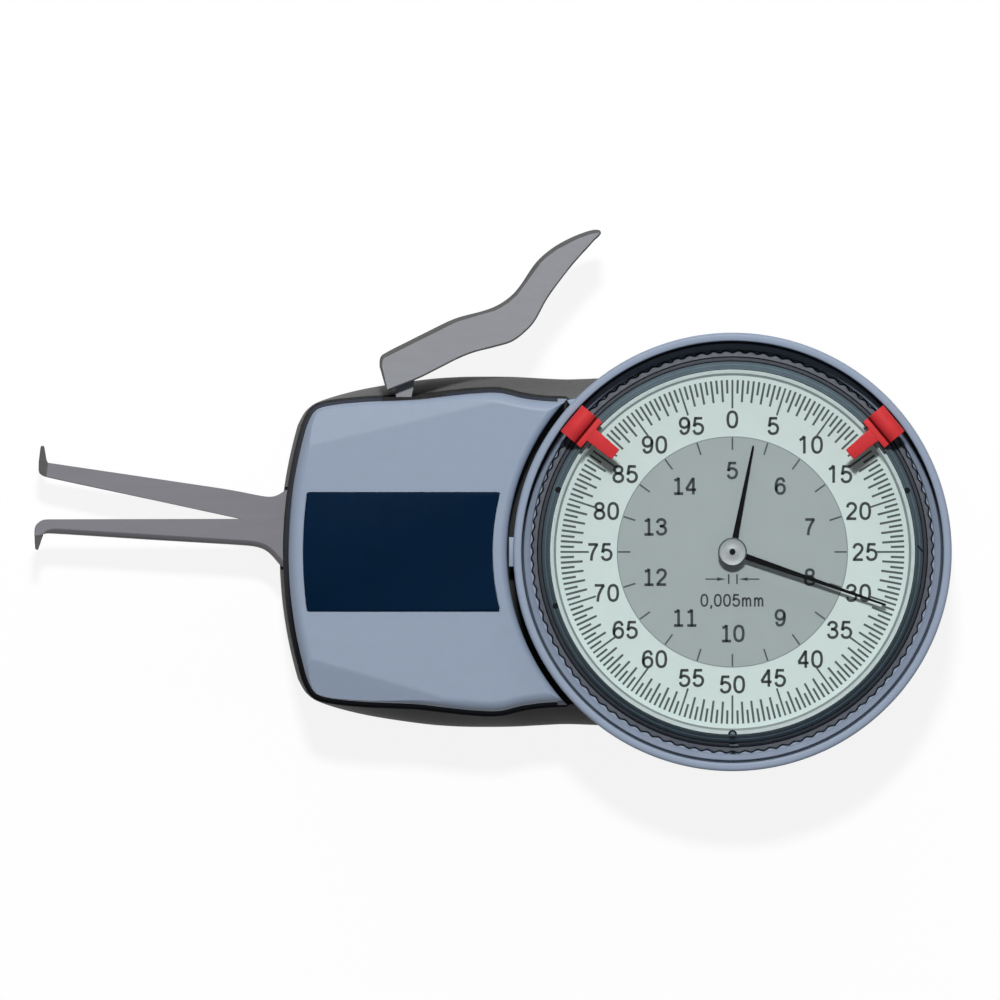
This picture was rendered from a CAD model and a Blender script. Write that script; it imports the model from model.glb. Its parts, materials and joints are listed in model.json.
import json
import math

import bmesh
import bpy
from mathutils import Matrix, Vector


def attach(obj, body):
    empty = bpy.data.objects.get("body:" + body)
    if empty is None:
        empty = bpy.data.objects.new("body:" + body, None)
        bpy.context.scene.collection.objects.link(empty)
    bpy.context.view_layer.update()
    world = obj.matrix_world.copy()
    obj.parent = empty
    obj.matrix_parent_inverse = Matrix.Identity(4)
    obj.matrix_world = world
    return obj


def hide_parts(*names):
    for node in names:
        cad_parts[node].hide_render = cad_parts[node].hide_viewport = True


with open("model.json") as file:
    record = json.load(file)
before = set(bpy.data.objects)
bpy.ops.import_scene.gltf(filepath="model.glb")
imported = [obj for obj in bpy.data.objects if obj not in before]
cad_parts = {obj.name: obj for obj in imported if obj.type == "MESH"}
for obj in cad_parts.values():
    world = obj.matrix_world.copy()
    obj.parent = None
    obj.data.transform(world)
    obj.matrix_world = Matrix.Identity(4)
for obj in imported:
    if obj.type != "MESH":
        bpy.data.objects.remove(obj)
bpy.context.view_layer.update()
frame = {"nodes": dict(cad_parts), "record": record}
nodes = frame["nodes"]
MM = 0.001

# Sizes that several pieces share, as part.mjs has them. Only the lamps and the camera are in metres
SHELL_TOP, COVER_BASE, COVER_TOP = 12.0, 12.4, 22.0
CASE_REACH, COVER_CREST, FLARE_CREST, END_HALF = 66.0, 23.7, 25.65, 18.6
HOUSING, WALL = 32.0, 1.8
FIXED_ARM, MOVING_ARM = (9.56, 11.96), (6.86, 9.26)
DIAL_BASE, DIAL_TOP, CRYSTAL_TOP = 21.1, 21.7, 25.6
LEVER_PIVOT = (-42.7, 16.3)
# Radii of the screws' posts, clearance bores, thread bores and sunk heads
POST, CLEARANCE, THREAD, SCREW_HEAD = 2.1, 1.05, 0.8, 1.85
# How far a cutter passes what it cuts, and a radius as good as zero
OVERRUN, AXIS = 1, 0.0001


# Materials

# The range of the noise that is spread over a whole colour or roughness range
NOISE_LOW, NOISE_HIGH = 0.3, 0.7
BUMP_DEPTH = 0.2 * MM


def srgb(r, g, b):
    def linear(v):
        v /= 255
        return v / 12.92 if v <= 0.04045 else ((v + 0.055) / 1.055) ** 2.4
    return linear(r), linear(g), linear(b), 1.0


def wire(start, output, end, socket):
    """Links two nodes of one shader."""
    start.id_data.links.new(start.outputs[output], end.inputs[socket])


def preset(node, values):
    for socket, value in values.items():
        node.inputs[socket].default_value = value


def finish(name, colour, rough, metal=0.0, spread=0.06, grain=900.0, stretch=(1, 1, 1), bump=0.02,
           bump_grain=None, rough_spread=0.06, specular=0.5, alpha=1.0):
    """A surface whose colour, roughness and height each follow their own noise."""
    m = bpy.data.materials.new(name)
    m.use_nodes = True
    tree = m.node_tree
    shader = tree.nodes["Principled BSDF"]
    place = tree.nodes.new("ShaderNodeTexCoord")
    scaled = tree.nodes.new("ShaderNodeMapping")
    preset(scaled, {"Scale": stretch})
    wire(place, "Object", scaled, "Vector")

    def noise(scale, detail):
        n = tree.nodes.new("ShaderNodeTexNoise")
        preset(n, {"Scale": scale, "Detail": detail})
        wire(scaled, "Vector", n, "Vector")
        return n

    wide = noise(grain, 4)
    ramp = tree.nodes.new("ShaderNodeValToRGB")
    low = [max(0.0, c * (1 - spread)) for c in colour[:3]] + [1]
    high = [min(1.0, c * (1 + spread)) for c in colour[:3]] + [1]
    for stop, at, tint in zip(ramp.color_ramp.elements, (NOISE_LOW, NOISE_HIGH), (low, high)):
        stop.position, stop.color = at, tint
    wire(wide, "Fac", ramp, "Fac")
    wire(ramp, "Color", shader, "Base Color")
    spots = noise(grain * 2.3, 3)
    span = tree.nodes.new("ShaderNodeMapRange")
    preset(span, {"From Min": NOISE_LOW, "From Max": NOISE_HIGH,
                  "To Min": max(0.02, rough - rough_spread), "To Max": min(1.0, rough + rough_spread)})
    wire(spots, "Fac", span, "Value")
    wire(span, "Result", shader, "Roughness")
    fine = noise(bump_grain or grain * 4, 2)
    height = tree.nodes.new("ShaderNodeBump")
    preset(height, {"Strength": bump, "Distance": BUMP_DEPTH})
    wire(fine, "Fac", height, "Height")
    wire(height, "Normal", shader, "Normal")
    preset(shader, {"Metallic": metal, "Specular IOR Level": specular, "Alpha": alpha})
    m.diffuse_color = colour
    return m


SHELL = finish("moulded_charcoal", srgb(110, 110, 110), 0.6, spread=0.07, grain=1500, bump=0.1,
               bump_grain=6000, specular=0.1)
RUBBER = finish("seal_rubber", srgb(26, 26, 27), 0.75, spread=0.15, grain=800, bump=0.12)
PAINT = finish("blue_grey_case", srgb(149, 163, 184), 0.45, spread=0.015, grain=700,
               bump_grain=7000, rough_spread=0.012, specular=0.3)
LIP_PAINT = finish("cover_lip", srgb(66, 71, 81), 0.75, spread=0.02, grain=700, bump_grain=7000,
                   specular=0.0)
NAVY = finish("navy_film", srgb(5, 31, 56), 0.55, spread=0.07, grain=260, bump_grain=7000,
              specular=0.03)
STEEL = finish("ground_steel", srgb(128, 127, 133), 0.5, metal=0.15, spread=0.025, grain=700,
               stretch=(0.08, 1, 1), bump=0.03, bump_grain=2600, specular=0.2)
DARK_STEEL = finish("black_steel", srgb(70, 71, 75), 0.36, metal=0.8, spread=0.1, grain=1200)
LEVER = finish("satin_lever", srgb(145, 147, 152), 0.55, metal=0.1, spread=0.02, grain=500,
               stretch=(0.25, 1, 1), bump=0.03, bump_grain=4200, specular=0.3)
LEVER_EDGE = finish("lever_edge", srgb(98, 98, 99), 0.5, metal=0.05, spread=0.05, grain=700, bump=0.04,
                    bump_grain=4200, specular=0.05)
BRASS = finish("machined_brass", srgb(190, 155, 95), 0.32, metal=0.9, spread=0.08)
CARBIDE = finish("hard_metal", srgb(88, 88, 90), 0.5, metal=0.1, spread=0.08, grain=1600, bump=0.05,
                 specular=0.2)
DIAL = finish("dial_paint", srgb(213, 230, 226), 0.6, spread=0.012, grain=400, bump=0.015, bump_grain=9000)
CENTRE = finish("dial_centre_paint", srgb(163, 175, 176), 0.6, spread=0.015, grain=400, bump=0.015,
                bump_grain=9000)
SPACER = finish("spacer_satin", srgb(203, 219, 218), 0.6, spread=0.02, grain=500, specular=0.1)
LINE = finish("ring_line", srgb(128, 142, 142), 0.5, spread=0.04, grain=500)
INK = finish("print_black", srgb(38, 48, 50), 0.6, spread=0.1)
TICK_INK = finish("print_ticks", srgb(70, 83, 83), 0.6, spread=0.08)
HAND = finish("hand_black", srgb(3, 3, 4), 0.8, spread=0.2, specular=0.02)
SILVER = finish("turned_cap", srgb(164, 173, 173), 0.5, metal=0.15, spread=0.03, grain=1500)
CAP_EDGE = finish("turned_cap_edge", srgb(84, 92, 92), 0.45, metal=0.3, spread=0.05, grain=1500)
PIN = finish("arbor_end", srgb(12, 12, 14), 0.6, spread=0.1, specular=0.05)
TRENCH = finish("housing_trench", srgb(132, 145, 164), 0.5, spread=0.03, grain=220, bump=0.03,
                bump_grain=5000, specular=0.2)
SEAM = finish("housing_seam", srgb(72, 80, 92), 0.6, grain=400, specular=0.05)
CREASE = finish("marker_crease", srgb(122, 24, 29), 0.6, spread=0.05, grain=700, specular=0.05)
RED = finish("marker_red", srgb(212, 56, 60), 0.55, spread=0.05, grain=700, bump=0.03, bump_grain=4500,
             specular=0.12)
BEZEL_BLACK = finish("bezel_black", srgb(14, 17, 20), 0.55, spread=0.15, grain=700, bump=0.04,
                     bump_grain=5000, specular=0.1)
BEZEL_SLOPE = finish("bezel_slope", srgb(100, 117, 126), 0.45, grain=600, stretch=(1, 1, 0.3),
                     specular=0.15)
BEZEL_BAND = finish("bezel_band", srgb(97, 101, 110), 0.5, spread=0.08, grain=600, specular=0.15)
BEZEL_LAND = finish("bezel_land", srgb(55, 60, 67), 0.5, spread=0.1, grain=600, specular=0.15)
CRYSTAL = finish("acrylic_crystal", (0.3, 0.34, 0.34, 1), 0.06, spread=0.01, grain=300, bump=0.0,
                 rough_spread=0.02, alpha=0.015)

# The finish of each CAD node follows the material slot that its record row names
BY_SLOT = {
    "dark_shell": SHELL, "rubber": RUBBER, "painted_case": PAINT, "navy_plate": NAVY, "steel": STEEL,
    "dark_steel": DARK_STEEL, "satin_lever": LEVER, "brass": BRASS, "carbide": CARBIDE,
    "dark_bezel": BEZEL_BLACK, "dial_paint": DIAL, "spacer": SPACER, "hand_paint": HAND,
    "silver_cap": SILVER, "red_marker": RED, "crystal": CRYSTAL,
}
NODE_SLOT = {row["node"]: row["material_slot"] for row in frame["record"]["subparts"]}


# Shapes

def polar(radius, angle, centre=(0, 0)):
    return centre[0] + radius * math.cos(angle), centre[1] + radius * math.sin(angle)


def linked(name, data):
    made = bpy.data.objects.new(name, data)
    bpy.context.scene.collection.objects.link(made)
    return made


def new_object(name, verts, faces, materials, face_materials=None):
    """A mesh object with all its faces turned outwards, from places in millimetres."""
    mesh = bpy.data.meshes.new(name)
    mesh.from_pydata([[c * MM for c in v] for v in verts], [], faces)
    for m in materials:
        mesh.materials.append(m)
    if face_materials:
        mesh.polygons.foreach_set("material_index", face_materials)
    mesh.validate()
    made = linked(name, mesh)
    b = bmesh.new()
    b.from_mesh(mesh)
    bmesh.ops.recalc_face_normals(b, faces=b.faces)
    b.to_mesh(mesh)
    b.free()
    return made


def loft(name, rings, materials):
    """rings: closed outlines of equal length with their heights, lowest first."""
    count = len(rings[0][1])
    verts = [(x, y, z) for z, points in rings for x, y in points]
    faces = [tuple(reversed(range(count)))]
    for level in range(len(rings) - 1):
        for i in range(count):
            a, b = level * count + i, level * count + (i + 1) % count
            faces.append((a, b, b + count, a + count))
    last = (len(rings) - 1) * count
    faces.append(tuple(range(last, last + count)))
    return new_object(name, verts, faces, materials)


def prism(name, points, bottom, top, materials):
    return loft(name, [(bottom, points), (top, points)], materials)


def box_points(left, right, low, high):
    return [(left, low), (right, low), (right, high), (left, high)]


def disc_points(centre, radius, steps=48):
    return [polar(radius, 2 * math.pi * i / steps, centre) for i in range(steps)]


def lathe(name, profile, materials, steps=288, centre=(0, 0), radius_at=None):
    """A closed profile turned about an upright axis. A point is its radius, its height and, unless the
    side that starts there is of the first material, that material's number."""
    count = len(profile)
    verts, faces, kinds = [], [], []
    for i in range(steps):
        angle = 2 * math.pi * i / steps
        for k, (r, z, *_) in enumerate(profile):
            r = radius_at(k, i, r) if radius_at else r
            verts.append((*polar(r, angle, centre), z))
    for i in range(steps):
        j = (i + 1) % steps
        for k, (_, _, *kind) in enumerate(profile):
            n = (k + 1) % count
            faces.append((i * count + k, j * count + k, j * count + n, i * count + n))
            kinds.append(kind[0] if kind else 0)
    return new_object(name, verts, faces, materials, kinds)


def boolean(target, cutter, operation="DIFFERENCE"):
    """Cuts the target with the cutter, or joins the two, for good; the cutter is used up."""
    m = target.modifiers.new("cut", "BOOLEAN")
    m.object, m.operation, m.solver = cutter, operation, "EXACT"
    graph = bpy.context.evaluated_depsgraph_get()
    mesh = bpy.data.meshes.new_from_object(target.evaluated_get(graph))
    target.modifiers.clear()
    old, target.data = target.data, mesh
    bpy.data.meshes.remove(old)
    bpy.data.objects.remove(cutter)
    return target


def joined(name, objects):
    """One object of several that don't touch, with the materials of the first."""
    b = bmesh.new()
    for o in objects:
        b.from_mesh(o.data)
    mesh = bpy.data.meshes.new(name)
    b.to_mesh(mesh)
    b.free()
    for m in objects[0].data.materials:
        mesh.materials.append(m)
    for o in objects:
        bpy.data.objects.remove(o)
    return linked(name, mesh)


def drums(material, *rows, steps=48):
    """Upright posts or bores as one object. A row is their places, radius, base and top."""
    return joined("drums", [prism("drum", disc_points(p, radius, steps), base, top, [material])
                            for places, radius, base, top in rows for p in places])


def bevelled(o, width, segments=3, angle=35):
    """Rounds the sharp edges for real."""
    b = bmesh.new()
    b.from_mesh(o.data)
    bmesh.ops.remove_doubles(b, verts=b.verts, dist=1e-7)
    bmesh.ops.dissolve_limit(b, angle_limit=math.radians(0.5), verts=b.verts, edges=b.edges)
    edges = [e for e in b.edges if len(e.link_faces) == 2 and e.calc_face_angle(0) > math.radians(angle)]
    bmesh.ops.bevel(b, geom=edges, offset=width * MM, segments=segments, profile=0.5, affect="EDGES",
                    clamp_overlap=True)
    b.to_mesh(o.data)
    b.free()
    return o


def dress(o, body, slot, *replaced, angle=32):
    """Smooth shading up to an angle, and what the piece says to the frame."""
    o.data.polygons.foreach_set("use_smooth", [True] * len(o.data.polygons))
    o.data.set_sharp_from_angle(angle=math.radians(angle))
    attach(o, body)
    if replaced:
        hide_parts(*replaced)
    return o


def flat_faces(o):
    """Large faces stay flat up to their rounded edges."""
    b = bmesh.new()
    b.from_mesh(o.data)
    bmesh.ops.remove_doubles(b, verts=b.verts, dist=2e-6)
    bmesh.ops.dissolve_limit(b, angle_limit=math.radians(0.3), verts=b.verts, edges=b.edges)
    b.to_mesh(o.data)
    b.free()
    m = o.modifiers.new("flat", "WEIGHTED_NORMAL")
    m.weight, m.keep_sharp = 100, True


def mix(a, b, t):
    return a + (b - a) * t


def clamped(t):
    return min(1, max(0, t))


def between(ps, qs, shares):
    """Each point of one outline moved by its share of the way to the other outline."""
    return [(mix(p[0], q[0], t), mix(p[1], q[1], t)) for p, q, t in zip(ps, qs, shares)]


def spline(points, count):
    """Uniform Catmull-Rom curve through the points, as the CAD source draws it."""
    made, last = [], len(points) - 1
    for i in range(count + 1):
        place = last * i / count
        k = min(int(place), last)
        t = place - k
        row = []
        for a, b, c, d in zip(*(points[min(max(n, 0), last)] for n in range(k - 1, k + 3))):
            v0, v1 = (c - a) / 2, (d - b) / 2
            cubic, square = 2 * b - 2 * c + v0 + v1, -3 * b + 3 * c - 2 * v0 - v1
            row.append(cubic * t ** 3 + square * t * t + v0 * t + b)
        made.append(tuple(row))
    return made


def quarter(steps):
    """Steps along a quarter circle: what is left of one side, and what is gone of the other."""
    turns = [i / steps * math.pi / 2 for i in range(steps + 1)]
    return [(1 - math.sin(t), 1 - math.cos(t)) for t in turns]


# The least that a sharp corner counts when an outline is inset, so that it doesn't shoot out
MITRE = 0.6


def inset(points, distance):
    """A closed outline moved inwards, where it runs anticlockwise."""
    made = []
    for i, p in enumerate(points):
        before, after = Vector(points[i - 1]), Vector(points[(i + 1) % len(points)])
        p = Vector(p)
        incoming, outgoing = (p - before).normalized(), (after - p).normalized()
        inward = Vector((-incoming.y - outgoing.y, incoming.x + outgoing.x)).normalized()
        spread = max(MITRE, inward.x * -incoming.y + inward.y * incoming.x)
        made.append(tuple(p + inward * (distance / spread)))
    return made


# Case

# The case's side from its end to the dial housing, as shares: of the way, and of the climb from the end's
# half height to the crest, first on the cover and then where the shell flares
SIDE_SHARES = [(0.97, 0.428, 0.309), (0.916, 0.619, 0.512), (0.779, 0.74, 0.745), (0.594, 0.805, 0.927),
               (0.475, 0.907, 0.989), (0.374, 0.986, 1), (0.279, 1, 0.993), (0.191, 0.847, 0.964),
               (0.106, 0.763, 0.942)]
END_SETBACK, END_FLARE = 0.7, 0.9
# Half height at which the side meets the round housing, on the cover and where the shell flares
HORN, HORN_FLARED = 22.35, 25.4


def case_outline(flare):
    """The case from the front: flare is 0 for the cover and 1 for the shell's widest height."""
    round_steps, side_steps, end_steps = 90, 78, 12
    reach = CASE_REACH - END_SETBACK + flare * END_FLARE
    corner = math.asin(END_HALF / reach)
    horn = math.pi - math.asin(mix(HORN, HORN_FLARED, flare) / HOUSING)
    end, tip = polar(reach, math.pi - corner), polar(HOUSING, horn)
    upper = [polar(HOUSING, horn * i / round_steps) for i in range(round_steps)]
    side = [(mix(tip[0], end[0], way),
             mix(mix(END_HALF, COVER_CREST, rise), mix(END_HALF, FLARE_CREST, flared), flare))
            for way, rise, flared in SIDE_SHARES]
    upper += reversed(spline([end, *side, tip], side_steps))
    upper += [polar(reach, math.pi - corner * (1 - i / end_steps)) for i in range(1, end_steps + 1)]
    lower = [(x, -y) for x, y in reversed(upper[1:-1])]
    return upper + lower


def case_ring(z, flare, distance=0.0):
    return z, inset(case_outline(flare), distance)


def case_place(x, y):
    """A place from its shares of the case's reach and of the cover's crest."""
    return x * CASE_REACH, y * COVER_CREST


COVER_SCREWS = [(x, side * y) for x, y in ((-58.41, 16.21), (-33.4, 20.0)) for side in (1, -1)]
CHASSIS_SCREWS = [(18.1, 0), case_place(-0.833, 0.557), case_place(-0.833, -0.527)]
HOUSING_SCREWS = [polar(27.9, side * math.radians(40)) for side in (1, -1)]


def make_back_shell():
    """The moulded shell, with a rounded foot, a flared wall, posts and sunk screw holes."""
    foot, rounding, floor, steps = 4.6, 2.6, 2, 8
    foot_flare, added_flare, floor_flare, fade = 0.9, 0.1, 0.8, 1.9
    rings = []
    for i, (left, gone) in enumerate(quarter(steps)):
        rings.append(case_ring(foot * gone, foot_flare + added_flare * i / steps, rounding * left))
    for i in range(1, steps + 1):
        t = i / steps
        rings.append(case_ring(foot + t * (SHELL_TOP - foot), 1 - t ** fade))
    shell = loft("back_shell_moulded", rings, [SHELL])
    above = SHELL_TOP + OVERRUN
    room = ((floor, floor_flare, rounding), (foot, foot_flare, WALL), (above, 0, WALL))
    boolean(shell, loft("room", [case_ring(*ring) for ring in room], [SHELL]))
    through = COVER_SCREWS + HOUSING_SCREWS
    post_base, head_depth, bore_base, thread_base, thread_top = 1, 1.25, 0.5, 4.78, 10
    boolean(shell, drums(SHELL, (through, POST, post_base, SHELL_TOP),
                         (CHASSIS_SCREWS, POST, post_base, FIXED_ARM[0])), "UNION")
    boolean(shell, drums(SHELL, (through, SCREW_HEAD, -OVERRUN, head_depth)))
    boolean(shell, drums(SHELL, (through, CLEARANCE, bore_base, above),
                         (CHASSIS_SCREWS, THREAD, thread_base, thread_top), steps=24))
    arms_way = box_points(-70, -60.6, -2.6, 9.5)
    boolean(shell, prism("notch", arms_way, MOVING_ARM[0] - 0.3, above, [SHELL]))
    dress(shell, "housing", "dark_shell", "back_shell")


# The name plate lies between two arcs about the dial's axis
PLATE_HALF, PLATE_NEAR, PLATE_FAR, PLATE_CORNER = 8.65, 35, 62.7, 0.5
PLATE_BASE, PLATE_TOP, PLATE_GAP = 21.5, 22.1, 0.1


def plate_points(grow, steps=28):
    """The plate's outline with rounded corners, or the recess around it."""
    near, far = PLATE_NEAR - grow, PLATE_FAR + grow
    near_turn, far_turn = math.asin((PLATE_HALF + grow) / near), math.asin((PLATE_HALF + grow) / far)
    left = [polar(far, math.pi - far_turn + 2 * far_turn * i / steps) for i in range(steps + 1)]
    right = [polar(near, math.pi + near_turn - 2 * near_turn * i / steps) for i in range(steps + 1)]
    points, made = left + right, []
    for i, p in enumerate(points):
        if i % (steps + 1) not in (0, steps):
            made.append(p)
            continue
        corner, before, after = Vector(p), Vector(points[i - 1]), Vector(points[(i + 1) % len(points)])
        first, last = (corner + (q - corner).normalized() * PLATE_CORNER for q in (before, after))
        made += [tuple(first.lerp(corner, t).lerp(corner.lerp(last, t), t)) for t in (0, 0.25, 0.5, 0.75, 1)]
    return made


# The cover's foot steps in by LIP over the height LIP_RISE. Each sloping corner, above and below the plate,
# has the two ends of its crease as shares for case_place, and its fall over the cut's width
LIP, LIP_RISE = 0.5, 0.8
CORNERS = {1: ((-0.95, 0.641), (-0.518, 0.928), 1.15), -1: ((-0.948, -0.65), (-0.661, -0.878), 2.8)}


def corner_cut(side, part):
    """One plane of a sloping corner; a part below 1 lies flatter and further in, and rounds its edge."""
    shift, beyond, width, top = 0.5, 10, 12, 23.3
    start, end, fall = CORNERS[side]
    start, end = Vector(case_place(*start)), Vector(case_place(*end))
    along = (end - start).normalized()
    across = Vector((-along.y, along.x)) * side
    start, end = (p - across * (1 - part) * shift for p in (start - along * beyond, end + along * beyond))
    far = [start + across * width, end + across * width]
    low = COVER_TOP - fall * part
    verts = [(*start, COVER_TOP), (*end, COVER_TOP), (*far[1], low), (*far[0], low),
             (*start, top), (*end, top), (*far[1], top), (*far[0], top)]
    faces = [(0, 1, 2, 3), (4, 5, 6, 7), (0, 1, 5, 4), (1, 2, 6, 5), (2, 3, 7, 6), (3, 0, 4, 7)]
    return new_object("corner", verts, faces, [PAINT])


def make_front_cover():
    """The painted cover, open for the dial housing, with a seal along the opening."""
    crown, roof, start = 1.6, 20.2, 0.1
    below, above = COVER_BASE - OVERRUN, COVER_TOP + OVERRUN
    rings = [case_ring(COVER_BASE + rise, 0, step) for rise, step in ((0, 0), (start, 0), (LIP_RISE, LIP))]
    rings += [case_ring(COVER_TOP - crown * left, 0, LIP + crown * gone) for left, gone in quarter(12)]
    cover = loft("front_cover_painted", rings, [PAINT])

    opening, groove, groove_base, groove_top, rounding = 32.9, 32.03, 16.0, 17.2, 1.1
    skirt, post_top, bore_top = 34.4, 21.1, 18.4
    room = loft("room", [case_ring(below, 0, WALL), case_ring(roof, 0, WALL)], [PAINT])
    boolean(room, prism("skirt", disc_points((0, 0), skirt, 200), groove_base, above, [PAINT]))
    boolean(cover, room)
    boolean(cover, drums(PAINT, (COVER_SCREWS, POST, COVER_BASE, post_top)), "UNION")
    cut = [(AXIS, below), (opening, below), (opening, groove_base), (groove, groove_base),
           (groove, groove_top), (opening, groove_top)]
    cut += [(opening + rounding * gone, COVER_TOP - rounding * left) for left, gone in quarter(8)]
    boolean(cover, lathe("crescent", [*cut, (opening + rounding, above), (AXIS, above)], [PAINT]))
    boolean(cover, drums(PAINT, (COVER_SCREWS, THREAD, below, bore_top), steps=24))

    lever_way, lever_way_top = box_points(-51.1, -42, 16.95, 24.7), 16.7
    boolean(cover, prism("slot", lever_way, below, lever_way_top, [PAINT]))
    boolean(cover, prism("recess", plate_points(PLATE_GAP), PLATE_BASE, above, [PAINT]))
    for part in (0.5, 1):
        for side in (1, -1):
            boolean(cover, corner_cut(side, part))

    cover.data.materials.append(RUBBER)
    cover.data.materials.append(LIP_PAINT)
    beside, seal_base, seal_top, lip_top = opening + 0.15, 15.9, 20.95, COVER_BASE + LIP_RISE - 0.05
    for face in cover.data.polygons:
        radius, height = face.center.xy.length / MM, face.center.z / MM
        if radius < beside and seal_base < height < seal_top:
            face.material_index = 1
        elif radius > beside and height < lip_top:
            face.material_index = 2
    dress(cover, "housing", "painted_case", "front_cover", angle=24)
    flat_faces(cover)


def make_gasket():
    """The seal between shell and cover, proud of both but sunk beside the dial housing."""
    outer = case_outline(0)
    housing_side, sunk, width = -24, 0.1, 1.5
    rings = []
    for z, proud in ((SHELL_TOP, 0.1), (12.06, 0.3), (12.2, 0.38), (12.34, 0.3), (COVER_BASE, 0.1)):
        points = zip(inset(outer, -proud), inset(outer, sunk))
        rings.append((z, [p if p[0] < housing_side else q for p, q in points]))
    bead = loft("case_gasket_bead", rings, [RUBBER])
    hole = prism("inside", inset(outer, width), SHELL_TOP - OVERRUN, SHELL_TOP + OVERRUN, [RUBBER])
    dress(boolean(bead, hole), "housing", "rubber", "case_gasket")


def make_name_plate():
    plate = prism("name_plate_film", plate_points(0), PLATE_BASE, PLATE_TOP, [NAVY])
    dress(bevelled(plate, 0.12, 2, angle=50), "housing", "navy_plate", "name_plate")


def make_dial_housing():
    """The round wall about the dial, with a trench inside its rim, screw posts, a tab and a bridge."""
    inner, floor, chamfer, ledge, under = 30.8, 20.3, 0.15, 25.9, 19
    trench, seam = 1, 2
    profile = [(29, COVER_BASE), (HOUSING - chamfer, COVER_BASE), (HOUSING, COVER_BASE + chamfer)]
    profile += [polar(0.45, i * math.pi / 12, (31.55, 24.55)) for i in range(7)]
    for i in range(5):
        t = i * math.pi / 8
        profile.append((31.05 - 0.25 * math.sin(t), 24.75 + 0.25 * math.cos(t)))
    profile += [(inner, 21.3, seam), (30.7, 21.0, seam), (30.5, 21.0, seam), (30.45, 21.3, trench),
                (30.35, 21.4, trench), (29.62, 21.25, trench), (29.54, 21.15, trench), (29.54, floor),
                (ledge, floor), (ledge, under), (29, under)]
    body = lathe("dial_housing_painted", profile, [PAINT, TRENCH, SEAM])
    below, post_top, joint = COVER_BASE - OVERRUN, 19.65, 20.4
    boolean(body, drums(PAINT, (HOUSING_SCREWS, POST, COVER_BASE, post_top)), "UNION")
    boolean(body, drums(PAINT, (HOUSING_SCREWS, THREAD, below, under), steps=24))
    arms_way, arms_way_top = box_points(-33, -16, -14.72, 14.72), 15.7
    boolean(body, prism("window", arms_way, below, arms_way_top, [PAINT]))
    tab = box_points(-32.63, -31.4, -2.16, 2.16)
    boolean(body, bevelled(prism("tab", tab, joint, COVER_TOP, [PAINT]), 0.15), "UNION")
    bridge, bridge_base = [(-24.15, 22.2), (-24.0, 21.8), (-23.6, 21.4), (-22.7, 21.9), (-22.55, 22.4)], 13
    boolean(body, bevelled(prism("bridge", bridge, bridge_base, joint, [PAINT]), 0.12), "UNION")
    dress(body, "housing", "painted_case", "dial_housing")


# Bezel, dial and crystal

def make_bezel():
    """The turned bezel, from its scalloped skirt up to the rim, with its pits and index marks."""
    scallops, depth, steps = 100, 0.27, 1200
    skirt, slope, band, land = range(2, 7), 1, 2, 3
    profile = [
        (25.4, 20.6), (28.4, 20.6), (28.9, 20.7), (29.22, 21.0), (29.22, 22.2), (28.97, 22.98, band),
        (28.84, 23.05, band), (28.7, 23.07, band), (28.56, 23.1), (28.5, 23.0), (28.42, 23.0),
        (28.38, 23.14, band), (28.12, 23.7, land), (28.06, 23.72, land), (27.94, 23.72), (27.9, 23.62),
        (27.84, 23.62), (27.8, 23.76, slope), (27.36, 24.8, slope), (27.3, 24.82, slope),
        (26.95, 25.8, slope), (26.86, 26.14, slope), (26.79, 26.33, slope), (26.72, 26.38), (26.66, 26.34),
        (26.65, 26.2), (26.65, DIAL_BASE), (25.4, DIAL_BASE),
    ]

    def scalloped(k, i, r):
        wave = 0.5 - 0.5 * math.cos(2 * math.pi * scallops * i / steps)
        return r + depth * wave if k in skirt else r

    ring = lathe("bezel_ring_turned", profile, [BEZEL_BLACK, BEZEL_SLOPE, BEZEL_BAND, BEZEL_LAND], steps,
                 radius_at=scalloped)
    above, pit_base, notch_base = 27, 24.6, 23.2
    pit_places = [polar(27.0, math.radians(turn)) for turn in (19.4, 160.4, 197)]
    pits = drums(BEZEL_BLACK, (pit_places, 0.45, pit_base, above), steps=20)
    notch = [(26.9, 0.86), (27.76, -0.16), (27.94, 0.0), (27.08, 1.02)]
    boolean(ring, joined("marks", [pits, prism("notch", notch, notch_base, above, [BEZEL_BLACK])]))
    ring.visible_shadow = False
    dress(ring, "bezel", "dark_bezel", "bezel_ring", angle=28)

    index = (0, -26.6)
    mark = [(0.4, CRYSTAL_TOP), (0.64, CRYSTAL_TOP), (0.64, 25.75), (0.58, 25.8), (0.44, 25.8), (0.4, 25.75)]
    dress(lathe("index_mark", mark, [BEZEL_BLACK], 40, index), "bezel", "dark_bezel")
    dot = [(AXIS, CRYSTAL_TOP), (0.42, CRYSTAL_TOP), (0.42, 25.68), (0.3, 25.73), (AXIS, 25.73)]
    dress(lathe("index_dot", dot, [BEZEL_SLOPE], 40, index), "bezel", "dark_bezel")
    bar = prism("index_bar", box_points(-0.4, 0.9, -28.34, -28.06), 23.6, 23.8, [BEZEL_BAND])
    dress(bevelled(bar, 0.06, 2), "bezel", "dark_bezel")


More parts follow.
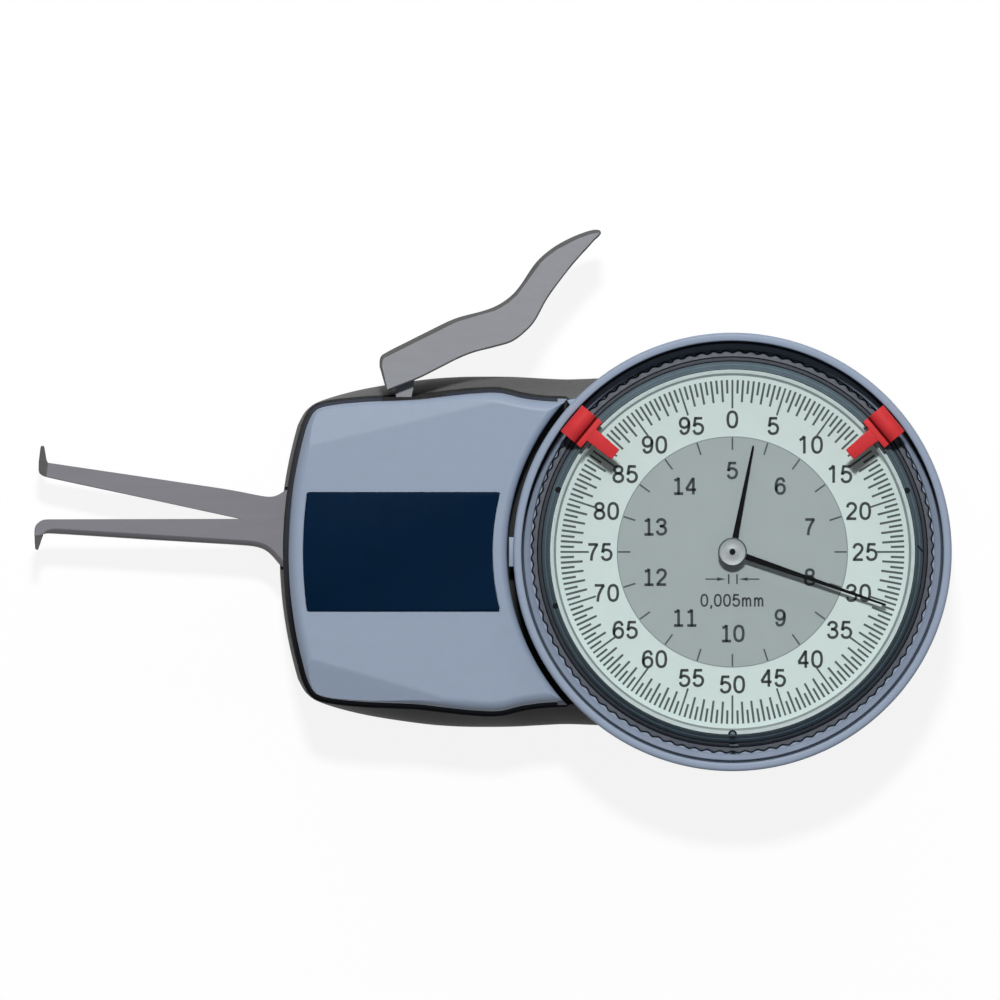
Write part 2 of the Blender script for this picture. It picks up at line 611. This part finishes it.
def make_dial():
    """The dial, the spacer ring that stands on it and the crystal in the bezel."""
    hole, chamfer, edge = 1.47, 0.08, 26.4
    face = lathe("dial_face_painted", [
        (hole, DIAL_BASE), (edge, DIAL_BASE), (edge, DIAL_TOP), (hole + chamfer, DIAL_TOP),
        (hole, DIAL_TOP - chamfer)], [DIAL], steps=200)
    dress(face, "bezel", "dial_paint", "dial_face")
    inner, outer, top, line = 25.75, 26.62, 24.57, 1
    spacer = lathe("spacer_ring_turned", [
        (inner, DIAL_TOP), (outer, DIAL_TOP), (outer, top), (26.1, top, line), (26.08, 24.48, line),
        (25.86, 24.44, line), (25.8, top), (inner, 24.5, line)], [SPACER, LINE], steps=240)
    spacer.visible_shadow = False
    dress(spacer, "bezel", "spacer", "spacer_ring")
    crystal = lathe("crystal_acrylic", [
        (AXIS, 24.6), (26.3, 24.6), (edge, 24.7), (edge, 25.45), (26.25, CRYSTAL_TOP), (AXIS, CRYSTAL_TOP)],
        [CRYSTAL], steps=160)
    dress(crystal, "bezel", "crystal", "crystal")


def flat_bar(angle, r0, r1, width):
    """Corners of a radial bar; angle is clockwise from the top."""
    d = Vector((math.sin(angle), math.cos(angle)))
    s = Vector((d.y, -d.x)) * (width / 2)
    return [d * r0 - s, d * r1 - s, d * r1 + s, d * r0 + s]


def bars(name, rows, bottom, top, material):
    """Raised flat print on the dial, each mark given by its outline, as one piece."""
    verts, faces = [], []
    for row in rows:
        n, c = len(verts), len(row)
        verts += [(*p, bottom) for p in row] + [(*p, top) for p in row]
        faces.append(tuple(range(n + c, n + 2 * c)))
        faces.append(tuple(reversed(range(n, n + c))))
        faces += [(n + i, n + (i + 1) % c, n + c + (i + 1) % c, n + c + i) for i in range(c)]
    dress(new_object(name, verts, faces, [material]), "bezel", "dial_paint")


# Middle lines of the characters, in a box one unit high. Two points make a straight line, more make a
# curve, and a line that ends where it starts is a loop
GLYPHS = {
    "0": [[(0.325, 0.94), (0.13, 0.83), (0.065, 0.5), (0.13, 0.17), (0.325, 0.06), (0.52, 0.17),
           (0.585, 0.5), (0.52, 0.83), (0.325, 0.94)]],
    "1": [[(0.11, 0.76), (0.25, 0.84), (0.37, 0.985)], [(0.38, 0.99), (0.38, 0)]],
    "2": [[(0.08, 0.7), (0.16, 0.88), (0.33, 0.94), (0.5, 0.87), (0.565, 0.7), (0.48, 0.5), (0.27, 0.29),
           (0.09, 0.07)], [(0.03, 0.06), (0.6, 0.06)]],
    "3": [[(0.075, 0.72), (0.15, 0.88), (0.31, 0.94), (0.48, 0.88), (0.54, 0.73), (0.45, 0.58),
           (0.23, 0.53)],
          [(0.23, 0.535), (0.47, 0.49), (0.585, 0.3), (0.5, 0.12), (0.31, 0.055), (0.14, 0.11),
           (0.065, 0.27)]],
    "4": [[(0.46, 0), (0.46, 0.99)], [(0.45, 0.96), (0.045, 0.31)], [(0.03, 0.28), (0.62, 0.28)]],
    "5": [[(0.55, 0.935), (0.13, 0.935)], [(0.165, 0.98), (0.085, 0.46)],
          [(0.09, 0.48), (0.19, 0.59), (0.33, 0.62), (0.52, 0.53), (0.585, 0.34), (0.5, 0.13),
           (0.31, 0.055), (0.14, 0.11), (0.065, 0.26)]],
    "6": [[(0.555, 0.73), (0.48, 0.89), (0.34, 0.94), (0.15, 0.83), (0.068, 0.48), (0.1, 0.2)],
          [(0.34, 0.6), (0.16, 0.52), (0.085, 0.33), (0.16, 0.13), (0.335, 0.055), (0.51, 0.13),
           (0.58, 0.33), (0.52, 0.52), (0.34, 0.6)]],
    "7": [[(0.05, 0.925), (0.6, 0.925)], [(0.565, 0.93), (0.4, 0.66), (0.27, 0.34), (0.225, 0)]],
    "8": [[(0.325, 0.94), (0.17, 0.89), (0.11, 0.75), (0.17, 0.6), (0.325, 0.55), (0.48, 0.6), (0.54, 0.75),
           (0.48, 0.89), (0.325, 0.94)],
          [(0.325, 0.53), (0.14, 0.46), (0.065, 0.29), (0.14, 0.12), (0.325, 0.06), (0.51, 0.12),
           (0.585, 0.29), (0.51, 0.46), (0.325, 0.53)]],
    ",": [[(0.14, 0.12), (0.14, -0.02)], [(0.15, 0), (0.07, -0.16)]],
    "m": [[(0.1, 0), (0.1, 0.72)],
          [(0.1, 0.5), (0.2, 0.65), (0.32, 0.66), (0.4, 0.55), (0.42, 0.3), (0.42, 0)],
          [(0.42, 0.5), (0.52, 0.65), (0.64, 0.66), (0.73, 0.55), (0.75, 0.3), (0.75, 0)]],
    "I": [[(0.37, 0), (0.37, 0.99)], [(0.12, 0.84), (0.27, 0.87), (0.37, 0.98)], [(0.1, 0.05), (0.64, 0.05)]],
}
GLYPHS["9"] = [[(0.65 - x, 1 - y) for x, y in line] for line in GLYPHS["6"]]
# How far a character moves the pen on, and how high print stands
DIGIT_ADVANCE, DIGIT_GAP = 0.777, 0.12
ADVANCE = {",": 0.36, "m": 1.02}
INK_RISE = 0.03


def stroke(line, half, steps=6):
    """A ribbon of constant width along a middle line, as its left and right edge points."""
    points, loop = line, line[0] == line[-1]
    if loop:
        points = spline([line[-2], *line, line[1]], steps * (len(line) + 1))[steps:-steps]
    elif len(line) > 2:
        points = spline(line, steps * (len(line) - 1))
    sides = []
    for i, p in enumerate(points):
        a, b = points[max(i - 1, 0)], points[min(i + 1, len(points) - 1)]
        if loop and i in (0, len(points) - 1):
            a, b = points[-2], points[1]
        along = Vector((b[0] - a[0], b[1] - a[1])).normalized() * half
        sides.append(((p[0] - along.y, p[1] + along.x), (p[0] + along.y, p[1] - along.x)))
    return sides


def words(name, entries, z, weight, narrow=1.0):
    """Black print on the dial. An entry is its text, its middle and the height of a digit."""
    verts, faces = [], []
    for text, x, y, height in entries:
        wide = sum(ADVANCE.get(c, DIGIT_ADVANCE) for c in text) - DIGIT_GAP
        pen = -wide / 2
        for c in text:
            for line in GLYPHS[c]:
                sides = stroke(line, weight / 2)
                first = len(verts)
                for low in (z, z + INK_RISE):
                    for u, v in (edge for pair in sides for edge in pair):
                        verts.append((x + (pen + u) * height * narrow, y + (v - 0.5) * height, low))
                n = 2 * len(sides)
                for k in range(len(sides) - 1):
                    a = first + 2 * k
                    faces += [(a, a + 1, a + 3, a + 2), (a + n, a + n + 2, a + n + 3, a + n + 1),
                              (a, a + 2, a + 2 + n, a + n), (a + 1, a + 1 + n, a + 3 + n, a + 3)]
                faces.append((first, first + n, first + n + 1, first + 1))
                last = first + n - 2
                faces.append((last, last + 1, last + 1 + n, last + n))
            pen += ADVANCE.get(c, DIGIT_ADVANCE)
    dress(new_object(name, verts, faces, [INK]), "bezel", "dial_paint")


# Radii and places of the print, in pixels of the photo from the dial's centre, times a pixel's size
PX = 1 / 6.85
TICK_END, LONG_TICK, EVEN_TICK, ODD_TICK = 172 * PX, 143.5 * PX, 150 * PX, 158.5 * PX
INNER_TICK, INNER_TICK_END = 102 * PX, 114.5 * PX
CENTRE_EDGE, CENTRE_LINE, CENTRE_LINE_END = 115 * PX, 114.6 * PX, 115.6 * PX
NUMBER_RING, NUMBER_HEIGHT = 132.5 * PX, 17.6 * PX
INNER_NUMBER_RING, INNER_NUMBER_HEIGHT = 81.5 * PX, 17 * PX
LEGEND_PLACE, LEGEND_HEIGHT = -48.4 * PX, 12.6 * PX
# Base and top of the print on the dial, and of what lies on its darker centre
PRINT, INNER_PRINT = (21.69, 21.72), (21.705, 21.735)


def numbers(labels, ring, height):
    """Entries for words, spread clockwise round the dial from its top."""
    turns = [2 * math.pi * i / len(labels) for i in range(len(labels))]
    return [(label, ring * math.sin(t), ring * math.cos(t), height) for label, t in zip(labels, turns)]


def disc_print(name, inner, outer, top, material):
    profile = [(inner, PRINT[0]), (outer, PRINT[0]), (outer, top), (inner, top)]
    dress(lathe(name, profile, [material], steps=200), "bezel", "dial_paint")


def make_dial_print():
    """Ticks, numbers, the darker centre, the legend, and the bars and arrows below it."""
    rows, long_width, width, inner_width = [], 0.28, 0.32, 0.25
    for i in range(200):
        start = LONG_TICK if i % 10 == 0 else EVEN_TICK if i % 2 == 0 else ODD_TICK
        rows.append(flat_bar(2 * math.pi * i / 200, start, TICK_END, width if i % 10 else long_width))
    bars("dial_ticks", rows, *PRINT, TICK_INK)
    disc_print("dial_centre", 1.6, CENTRE_EDGE, 21.715, CENTRE)
    disc_print("dial_centre_line", CENTRE_LINE, CENTRE_LINE_END, PRINT[1], LINE)
    rows = [flat_bar(2 * math.pi * i / 20, INNER_TICK, INNER_TICK_END, inner_width) for i in range(20)]
    bars("dial_inner_ticks", rows, *INNER_PRINT, TICK_INK)
    outer = numbers([str(5 * i) for i in range(20)], NUMBER_RING, NUMBER_HEIGHT)
    words("dial_numbers", outer, 21.695, weight=0.155)
    inner = numbers([str(5 + i).replace("1", "I") for i in range(10)], INNER_NUMBER_RING, INNER_NUMBER_HEIGHT)
    words("dial_inner_numbers", inner, 21.71, weight=0.162)
    words("dial_legend", [("0,005mm", 0, LEGEND_PLACE, LEGEND_HEIGHT)], 21.71, weight=0.155, narrow=0.94)
    line, bar_low, bar_high, arrow = 0.22, -4.7, -3.25, -3.97
    rows = [box_points(x - line / 2, x + line / 2, bar_low, bar_high) for x in (-0.54, 0.67)]
    for side in (-1, 1):
        near, far, head, notch, spread, shaft = side * 0.93, side * 3.95, side * 1.35, side * 1.2, 0.27, 0.09
        rows.append(box_points(near + side, far, arrow - shaft, arrow + shaft))
        rows.append([(near, arrow), (near + head, arrow - spread), (near + notch, arrow),
                     (near + head, arrow + spread)])
    bars("dial_arrows", rows, *INNER_PRINT, INK)


# Hands

def make_hand(name, node, body, reach, turn, base, bore):
    """A tapering blade on its round hub; turn is in degrees, clockwise from the top."""
    thick, root, point, hub, steps = 0.25, 0.475, 0.15, 1.26, 10
    left = [(reach * i / steps, root - (root - point) * i / steps) for i in range(steps + 1)]
    outline = [(x, -y) for x, y in left] + [(reach + 0.08, 0)] + list(reversed(left))
    blade = bevelled(prism(name, outline, base, base + thick, [HAND]), 0.07, 2, angle=60)
    boolean(blade, prism("hub", disc_points((0, 0), hub, 64), base, base + thick, [HAND]), "UNION")
    boolean(blade, prism("bore", disc_points((0, 0), bore, 32), base - OVERRUN, base + OVERRUN, [HAND]))
    blade.data.transform(Matrix.Rotation(math.radians(90 - turn), 4, "Z"))
    dress(blade, body, "hand_paint", node)


def make_hands():
    """Both hands, and the turned cap and arbor end that hold them."""
    make_hand("long_hand_blade", "long_hand", "centre_arbor", reach=23.65, turn=109.1, base=23.2, bore=0.4)
    make_hand("short_hand_blade", "short_hand", "hour_pipe", reach=15.75, turn=11.1, base=22.2, bore=0.8)
    base, bore, edge = 23.45, 0.42, 1
    cap = lathe("hand_hub_turned", [
        (bore, base), (2.0, base, edge), (2.1, base + 0.1, edge), (2.1, base + 0.3, edge),
        (1.95, base + 0.42, edge), (1.88, base + 0.42), (1.8, base + 0.39), (0.9, base + 0.38),
        (0.8, base + 0.4), (0.5, base + 0.42), (bore, base + 0.36)], [SILVER, CAP_EDGE], steps=120)
    dress(cap, "centre_arbor", "silver_cap", "hand_hub")
    end = lathe("arbor_end_cap", [
        (AXIS, base + 0.3), (0.41, base + 0.3), (0.41, base + 0.5), (0.33, base + 0.56), (AXIS, base + 0.56)],
        [PIN], steps=40)
    dress(end, "centre_arbor", "steel")


# Limit markers

def slab(name, profile, low, high):
    """A red piece of one cross-section, in radii and heights, drawn out along the rim."""
    count = len(profile)
    verts = [(r, low, z) for r, z in profile] + [(r, high, z) for r, z in profile]
    faces = [tuple(range(count)), tuple(reversed(range(count, 2 * count)))]
    faces += [(i, count + i, count + (i + 1) % count, (i + 1) % count) for i in range(count)]
    return new_object(name, verts, faces, [RED])


def make_marker(name, node, body, side):
    """A red slider on the housing's rim: rounded cap, crease, flange with a pointer, and a leg below."""
    outer, crest, crease, flange = 30.6, 29.2, 27.66, 26.72
    base, top, half, leg_half, turn = 25.2, 27.0, 2.45, 1.35, 50.3
    profile = [(outer, base), (outer, 26.2)]
    for i in range(9):
        a = math.radians(20 + 112 * i / 8)
        profile.append((crest + 1.4 * math.cos(a), 26.45 + 1.25 * math.sin(a)))
    profile += [(27.98, 26.95), (crease + 0.05, 26.6), (crease, 26.6), (crease - 0.06, 26.95),
                (crease - 0.14, top), (flange, top), (flange, 26.5), (28.6, 26.5), (29.3, 26.1),
                (29.62, base)]
    cap = bevelled(slab(name, profile, -half, half), 0.14, 2, angle=70)
    tip = [(22.2, -0.92), (26.9, -1.08), (26.9, 1.08), (22.2, 0.92)]
    boolean(cap, bevelled(prism("pointer", tip, 26.5, 26.98, [RED]), 0.1, 2, angle=50), "UNION")
    boolean(cap, slab("leg", box_points(29.66, 30.18, 22, 25.6), -leg_half, leg_half), "UNION")
    cap.data.materials.append(CREASE)
    for face in cap.data.polygons:
        radius, height = face.center.x / MM, face.center.z / MM
        if crease - 0.1 < radius < crease + 0.42 and 26.5 < height < 26.97:
            face.material_index = 1
    cap.data.transform(Matrix.Rotation(math.radians(90 - side * turn), 4, "Z"))
    dress(cap, body, "red_marker", node, angle=30)


# Jaws

def turned_left(points):
    """The outline in its anticlockwise order."""
    area = sum(a[0] * b[1] - b[0] * a[1] for a, b in zip(points, points[1:] + points[:1]))
    return points if area > 0 else list(reversed(points))


def rounded(name, points, bottom, top, size, materials, steps, upper=0.0):
    """A closed outline with its front and back edges rounded. A second material is for the roundings,
    and upper widens the front one where the outline faces up."""
    points = turned_left(points)
    deep = inset(points, 1)
    wide = [size + upper * clamped((p[1] - q[1]) * 0.8 + (q[0] - p[0]) * 0.6) for p, q in zip(points, deep)]
    rings = [(bottom + size * gone, inset(points, size * left)) for left, gone in quarter(steps)]
    rings += [(top - size * left, between(points, deep, [w * gone for w in wide]))
              for left, gone in quarter(steps)]
    made = loft(name, rings, materials)
    if len(materials) > 1:
        for face in made.data.polygons:
            face.material_index = 0 if abs(face.normal.z) > 0.9992 else 1
    return made


def smooth(points, corners):
    """Corner cutting twice over; a point named in corners is kept."""
    for _ in range(2):
        made = []
        for p, q in zip(points, points[1:] + points[:1]):
            made.append(p if p in corners else (mix(p[0], q[0], 0.25), mix(p[1], q[1], 0.25)))
            if q not in corners:
                made.append((mix(p[0], q[0], 0.75), mix(p[1], q[1], 0.75)))
        points = made
    return points


# Where the CAD arm is cut off, and where the ground jaw starts inside what is left of it
JAW_CUT, JAW_START = -61.2, -60.9


def make_jaw(node, body, points, corners, tip_node, tip_points, bottom, top, slope=0.0):
    """The arm's own body inside the case with a smoothly ground jaw, and its hard tip. corners names the
    jaw's sharp points, and slope is the width of the ground slope along its lower edge."""
    arm = linked(f"{node}_ground", nodes[node].data.copy())
    arm.data.materials.clear()
    arm.data.materials.append(STEEL)
    boolean(arm, prism("away", box_points(-110, JAW_CUT, -10, 20), 0, 20, [STEEL]))
    edge, slope_end, slope_steps, steepest = 0.1, -100.7, 6, math.radians(82)
    depth = 1.3 if slope else 0.2
    outline = turned_left(smooth(points, [p for p in points if p[0] == JAW_START] + corners))
    fine, deep = inset(outline, edge), inset(outline, 1)
    under = [clamped(max(0, (q[1] - p[1]) / edge - 0.2) / 0.4) * clamped(p[0] - slope_end) * slope
             for p, q in zip(outline, fine)]
    rings = [(bottom, fine), (bottom + edge, outline)]
    for i in range(slope_steps + 1):
        t = steepest * i / slope_steps
        rings.append((top - edge - depth * (1 - math.sin(t)),
                      between(outline, deep, [u * (1 - math.cos(t)) for u in under])))
    rings.append((top, between(fine, deep, under)))
    boolean(arm, loft("jaw", rings, [STEEL]), "UNION")
    dress(arm, body, "steel", node, angle=30)
    flat_faces(arm)
    middle, tip_half = (bottom + top) / 2, 1.1
    hard = rounded(f"{tip_node}_ground", tip_points, middle - tip_half, middle + tip_half, 0.12, [CARBIDE], 2)
    flat_faces(dress(hard, body, "carbide", tip_node, angle=30))


FIXED_JAW = [(JAW_START, 4.85), (-99.6, 4.78), (-100.7, 4.72), (-101.35, 4.4), (-102.0, 3.7), (-102.03, 2.3),
             (-101.2, 2.3), (-100.6, 2.64), (-99.6, 2.7), (-87.3, 1.88), (-80.6, 1.49), (-71.2, 0.95),
             (-69.4, 0.72), (-68.1, 0.2), (-67.0, -0.85), (-66.2, -1.9), (-65.4, -2.4), (JAW_START, -2.4)]
FIXED_TIP = [(-102.02, 3.0), (-101.98, 1.4), (-101.9, 0.4), (-101.52, 0.26), (-101.25, 1.0), (-100.95, 1.9),
             (-100.75, 2.4), (-101.0, 3.0)]
MOVING_JAW = [(JAW_START, 9.2), (-64.8, 9.2), (-65.6, 8.85), (-66.4, 8.3), (-67.4, 8.02), (-68.8, 8.15),
              (-73.1, 9.05), (-80.6, 10.15), (-87.3, 11.14), (-99.7, 12.98), (-100.12, 13.05),
              (-100.38, 10.95), (-99.8, 10.8), (-95.0, 9.75), (-87.3, 8.12), (-80.6, 6.69), (-72.9, 4.99),
              (-66.0, 3.5), (JAW_START, 2.4)]
MOVING_TIP = [(-101.44, 11.95), (-101.42, 13.2), (-101.16, 15.3), (-101.02, 15.52), (-100.72, 15.5),
              (-100.6, 15.3), (-100.3, 13.5), (-99.9, 12.6), (-100.1, 11.1), (-100.4, 10.95),
              (-101.0, 11.2), (-101.32, 11.5)]


# Lever

# The thumb lever's upper edge from its root to its tip and its lower edge back, as shares of its size
LEVER_UPPER_SHARES = [
    (-0.006, 0.15), (-0.003, 0.2), (0.02, 0.23), (0.105, 0.288), (0.227, 0.371), (0.325, 0.438),
    (0.39, 0.463), (0.471, 0.49), (0.537, 0.526), (0.594, 0.582), (0.634, 0.643), (0.675, 0.731),
    (0.716, 0.809), (0.781, 0.881), (0.854, 0.942), (0.919, 0.981), (0.959, 0.997), (0.985, 1),
    (0.998, 0.992)]
LEVER_LOWER_SHARES = [
    (1.001, 0.976), (0.989, 0.957), (0.959, 0.921), (0.879, 0.803), (0.805, 0.676), (0.748, 0.565),
    (0.699, 0.443), (0.658, 0.377), (0.594, 0.31), (0.512, 0.275), (0.423, 0.244), (0.349, 0.205),
    (0.26, 0.144), (0.161, 0.077), (0.024, 0.004)]
LEVER_LEFT, LEVER_LOW, LEVER_WIDE, LEVER_HIGH = -51.2, 23.6, 32, 23.5


def lever_place(share):
    return LEVER_LEFT + share[0] * LEVER_WIDE, LEVER_LOW + share[1] * LEVER_HIGH


def make_lever():
    """The thumb lever: a pad with rounded edges, a neck and the hub on its pivot."""
    upper = spline([lever_place(p) for p in LEVER_UPPER_SHARES], 90)
    root, evenings = 9, 10
    for _ in range(evenings):
        upper[root:-1] = [((a[0] + 2 * b[0] + c[0]) / 4, (a[1] + 2 * b[1] + c[1]) / 4)
                          for a, b, c in zip(upper[root - 1:-2], upper[root:-1], upper[root + 1:])]
    outline = upper + spline([lever_place(p) for p in LEVER_LOWER_SHARES], 80)
    outline.reverse()
    grown, full_growth, highest = inset(outline, -0.14), 46.6, 47.07
    outline = [(x, min(highest, y)) for x, y in
               between(outline, grown, [clamped((full_growth - p[1]) / 2) for p in outline])]
    both = [LEVER, LEVER_EDGE]
    base, top, rounding, below, above = 10.2, 18.2, 0.22, 5, 20
    hub, bore, hub_base, hub_top = 2.9, 1.72, 12.7, 15.7
    lever = rounded("thumb_lever_satin", outline, base, top, rounding, both, steps=6, upper=0.33)
    hub_left, hub_right = (polar(hub, turn * math.pi, LEVER_PIVOT) for turn in (1.12, 0.55))
    neck = [(-49.32, 26.2), (-49.1, 22.35), hub_left, hub_right, (-46.9, 22.35), (-46.24, 26.2)]
    boolean(lever, prism("neck", neck, hub_base, hub_top, both), "UNION")
    boolean(lever, prism("hub", disc_points(LEVER_PIVOT, hub), hub_base, hub_top, both), "UNION")
    boolean(lever, prism("bore", disc_points(LEVER_PIVOT, bore), below, above, both))
    flat_faces(dress(lever, "lever", "satin_lever", "thumb_lever", angle=28))


# Build

make_back_shell()
make_front_cover()
make_gasket()
make_name_plate()
make_dial_housing()
make_bezel()
make_dial()
make_dial_print()
make_hands()
make_jaw("fixed_arm", "housing", FIXED_JAW, FIXED_JAW[5:6], "fixed_tip", FIXED_TIP, *FIXED_ARM, slope=0.8)
make_jaw("moving_arm", "moving_arm", MOVING_JAW, MOVING_JAW[10:12], "moving_tip", MOVING_TIP, *MOVING_ARM)
make_lever()
make_marker("limit_marker_left_slider", "limit_marker_left", "marker_left", -1)
make_marker("limit_marker_right_slider", "limit_marker_right", "marker_right", 1)

# Every CAD node gets its finish, and those that show get softened edges
for name, node in nodes.items():
    node.data.materials.clear()
    node.data.materials.append(BY_SLOT[NODE_SLOT[name]])
    if node.hide_render:
        continue
    node.data.polygons.foreach_set("use_smooth", [True] * len(node.data.polygons))
    weld = node.modifiers.new("weld", "WELD")
    weld.merge_threshold = 1e-6
    soft = node.modifiers.new("edge", "BEVEL")
    soft.width, soft.segments, soft.limit_method = 0.08 * MM, 2, "ANGLE"
    soft.angle_limit = math.radians(35)
    soft.harden_normals = True

# Stage

FLOOR_HALF, FLOOR_GREY, FLOOR_GLOW = 9000, 0.12, 0.88
floor_corners = box_points(-FLOOR_HALF, FLOOR_HALF, -FLOOR_HALF, FLOOR_HALF)
floor = new_object("floor", [(*p, 0) for p in floor_corners], [(0, 1, 2, 3)], [])
paper = bpy.data.materials.new("pale_floor")
paper.use_nodes = True
tree = paper.node_tree
plain = tree.nodes["Principled BSDF"]
preset(plain, {"Base Color": (FLOOR_GREY, FLOOR_GREY, FLOOR_GREY, 1), "Roughness": 0.9,
               "Emission Color": (1, 1, 1, 1)})
# Seen directly, in a reflection or through the crystal, the floor glows pale and even
path = tree.nodes.new("ShaderNodeLightPath")
seen, clear, lift = (tree.nodes.new("ShaderNodeMath") for _ in range(3))
seen.operation, clear.operation, lift.operation = "MAXIMUM", "MAXIMUM", "MULTIPLY"
lift.inputs[1].default_value = FLOOR_GLOW
wire(path, "Is Camera Ray", seen, 0)
wire(path, "Is Glossy Ray", seen, 1)
wire(seen, 0, clear, 0)
wire(path, "Is Transmission Ray", clear, 1)
wire(clear, 0, lift, 0)
wire(lift, 0, plain, "Emission Strength")
floor.data.materials.append(paper)

# Strength of the sky's light on the object, and of the sky behind it
SKY_LIGHT, SKY_SEEN = 0.1, 0.96
world = bpy.data.worlds.new("studio")
world.use_nodes = True
sky = world.node_tree.nodes
preset(sky["Background"], {"Color": (0.97, 0.98, 1, 1)})
behind = sky.new("ShaderNodeLightPath")
level = sky.new("ShaderNodeMapRange")
preset(level, {"To Min": SKY_LIGHT, "To Max": SKY_SEEN})
wire(behind, "Is Camera Ray", level, "Value")
wire(level, "Result", sky["Background"], "Strength")
bpy.context.scene.world = world


def lamp(name, place, size, power, aim=(-0.03, 0, 0.01)):
    """A soft rectangle of light that the camera doesn't see. Lengths are in metres here."""
    light = bpy.data.lights.new(name, "AREA")
    light.shape, light.size, light.size_y, light.energy = "RECTANGLE", size[0], size[1], power
    o = linked(name, light)
    o.location = place
    o.rotation_mode = "QUATERNION"
    o.rotation_quaternion = (Vector(aim) - Vector(place)).to_track_quat("-Z", "Y")
    o.visible_camera = False


lamp("key_from_top", (-0.03, 0.73, 1.69), (0.18, 0.14), 25.2)
lamp("side_from_top", (-0.03, 1.3, 0.5), (1.2, 0.4), 3.4)
lamp("side_from_left", (-1.0, 1.0, 0.6), (0.3, 0.6), 0.8)
lamp("side_from_right", (1.0, 1.0, 0.6), (0.3, 0.6), 0.8)
lamp("fill_from_below", (-0.03, -1.4, 0.3), (0.8, 0.3), 0.45)

FOCAL_LENGTH, CAMERA_X, CAMERA_Y, CAMERA_RISE = 1479.45, -0.03393, 0.00758, 6.0
lens = bpy.data.cameras.new("camera")
lens.type, lens.sensor_width, lens.lens = "PERSP", 36, FOCAL_LENGTH
lens.clip_start, lens.clip_end = 0.1, 60
camera = linked("camera", lens)
camera.location = (CAMERA_X, CAMERA_Y, CAMERA_RISE + DIAL_TOP * MM)
bpy.context.scene.camera = camera
bpy.context.scene.view_settings.view_transform = "Standard"
